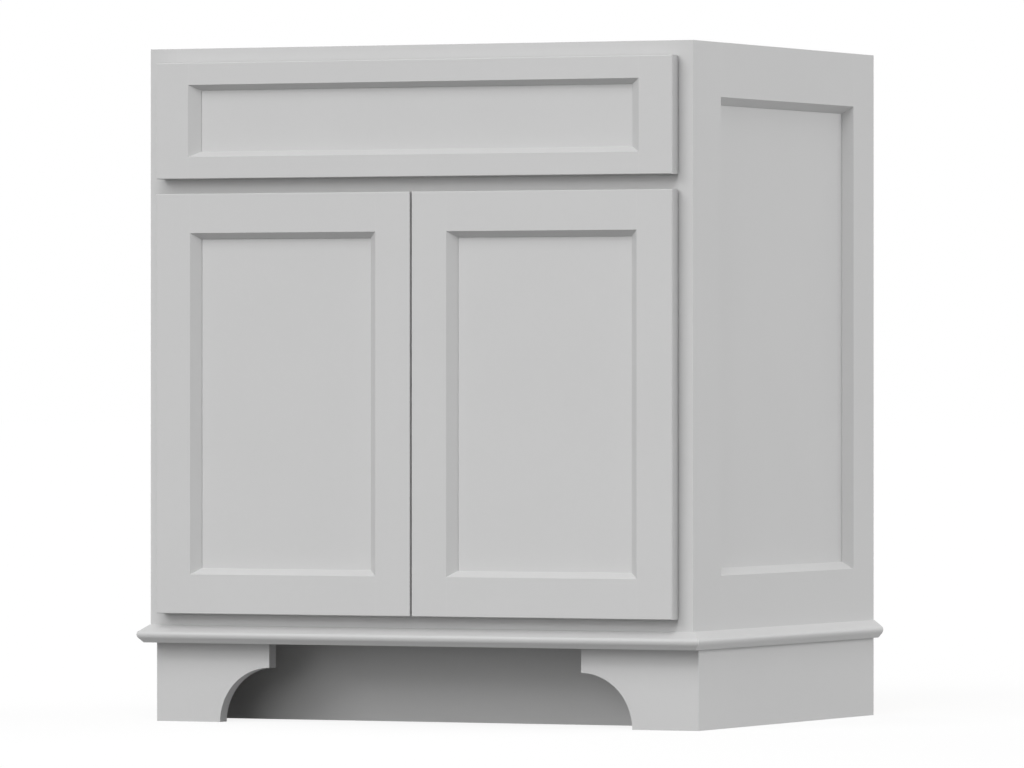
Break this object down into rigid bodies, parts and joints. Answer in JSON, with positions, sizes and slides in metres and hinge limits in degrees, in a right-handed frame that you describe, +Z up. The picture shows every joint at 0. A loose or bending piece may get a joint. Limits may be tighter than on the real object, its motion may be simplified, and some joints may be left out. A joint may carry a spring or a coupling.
{
  "type": "vanity unit",
  "caption": "Framed sink-base vanity cabinet with panelled doors on concealed hinges, a fixed panelled front, panelled ends, a base moulding, bracket feet and an open top.",
  "frame": {"origin": "middle of the footprint of the whole unit, doors and moulding included, at floor level", "axes": "+Z up, -Y out of the front of the unit, +X to the right for someone facing its front"},
  "size_m": [0.7894, 0.6054, 0.8636],
  "materials": {
    "paint": "satin light grey paint on wood",
    "plywood": "clear-coated birch plywood",
    "hinge_steel": "nickel-plated pressed steel",
    "screw_steel": "bright zinc plate",
    "bumper_rubber": "soft translucent pad"
  },
  "bodies": {
    "carcass": {"back_panel": "plywood", "base_corner_blocks": "plywood", "base_rear_board": "plywood", "cabinet_floor": "plywood", "corner_braces": "plywood", "face_frame_bottom_rail": "paint", "face_frame_left_stile": "paint", "face_frame_middle_rail": "paint", "face_frame_right_stile": "paint", "face_frame_top_rail": "paint", "false_front_bottom_rail": "paint", "false_front_bumpers": "bumper_rubber", "false_front_cleats": "plywood", "false_front_left_stile": "paint", "false_front_panel": "paint", "false_front_right_stile": "paint", "false_front_screws": "screw_steel", "false_front_top_rail": "paint", "front_moulding": "paint", "hinge_arm_screws": "screw_steel", "hinge_arms": "hinge_steel", "left_base_side": "paint", "left_bracket_foot": "paint", "left_end_bottom_rail": "paint", "left_end_front_stile": "paint", "left_end_panel": "paint", "left_end_rear_stile": "paint", "left_end_top_rail": "paint", "left_moulding": "paint", "lower_hanging_rail": "plywood", "right_base_side": "paint", "right_bracket_foot": "paint", "right_end_bottom_rail": "paint", "right_end_front_stile": "paint", "right_end_panel": "paint", "right_end_rear_stile": "paint", "right_end_top_rail": "paint", "right_moulding": "paint", "toe_board": "paint", "upper_hanging_rail": "plywood"},
    "left_outer_link": {"left_outer_links": "hinge_steel"},
    "left_inner_link": {"left_inner_links": "hinge_steel"},
    "left_door": {"left_cup_screws": "screw_steel", "left_door_bottom_rail": "paint", "left_door_bumpers": "bumper_rubber", "left_door_hinge_stile": "paint", "left_door_meeting_stile": "paint", "left_door_panel": "paint", "left_door_top_rail": "paint", "left_hinge_cups": "hinge_steel"},
    "right_outer_link": {"right_outer_links": "hinge_steel"},
    "right_inner_link": {"right_inner_links": "hinge_steel"},
    "right_door": {"right_cup_screws": "screw_steel", "right_door_bottom_rail": "paint", "right_door_bumpers": "bumper_rubber", "right_door_hinge_stile": "paint", "right_door_meeting_stile": "paint", "right_door_panel": "paint", "right_door_top_rail": "paint", "right_hinge_cups": "hinge_steel"}
  },
  "joints": [
    {"name": "left_outer_link_pivot", "type": "hinge", "parent": "carcass", "child": "left_outer_link", "pos_m": [-0.3286, -0.28064, 0.40845], "axis": [0, 0, 1], "range_deg": [0, 24.85]},
    {"name": "left_door_hinge", "type": "hinge", "parent": "left_outer_link", "child": "left_door", "pos_m": [-0.35074, -0.28738, 0.40845], "axis": [0, 0, -1], "range_deg": [0, 119.8]},
    {"name": "left_inner_link_pivot", "type": "hinge", "parent": "carcass", "child": "left_inner_link", "pos_m": [-0.32974, -0.29298, 0.40845], "axis": [0, 0, 1], "range_deg": [0, 5.84]},
    {"name": "right_outer_link_pivot", "type": "hinge", "parent": "carcass", "child": "right_outer_link", "pos_m": [0.3286, -0.28064, 0.40845], "axis": [0, 0, -1], "range_deg": [0, 24.85]},
    {"name": "right_door_hinge", "type": "hinge", "parent": "right_outer_link", "child": "right_door", "pos_m": [0.35074, -0.28738, 0.40845], "axis": [0, 0, 1], "range_deg": [0, 119.8]},
    {"name": "right_inner_link_pivot", "type": "hinge", "parent": "carcass", "child": "right_inner_link", "pos_m": [0.32974, -0.29298, 0.40845], "axis": [0, 0, -1], "range_deg": [0, 5.84]}
  ],
  "couplings": [
    {"joint": "left_outer_link_pivot", "follows": "left_door_hinge", "ratio": 0.20698},
    {"joint": "left_inner_link_pivot", "follows": "left_door_hinge", "ratio": 0.048374},
    {"joint": "right_outer_link_pivot", "follows": "right_door_hinge", "ratio": 0.20698},
    {"joint": "right_inner_link_pivot", "follows": "right_door_hinge", "ratio": 0.048374}
  ]
}
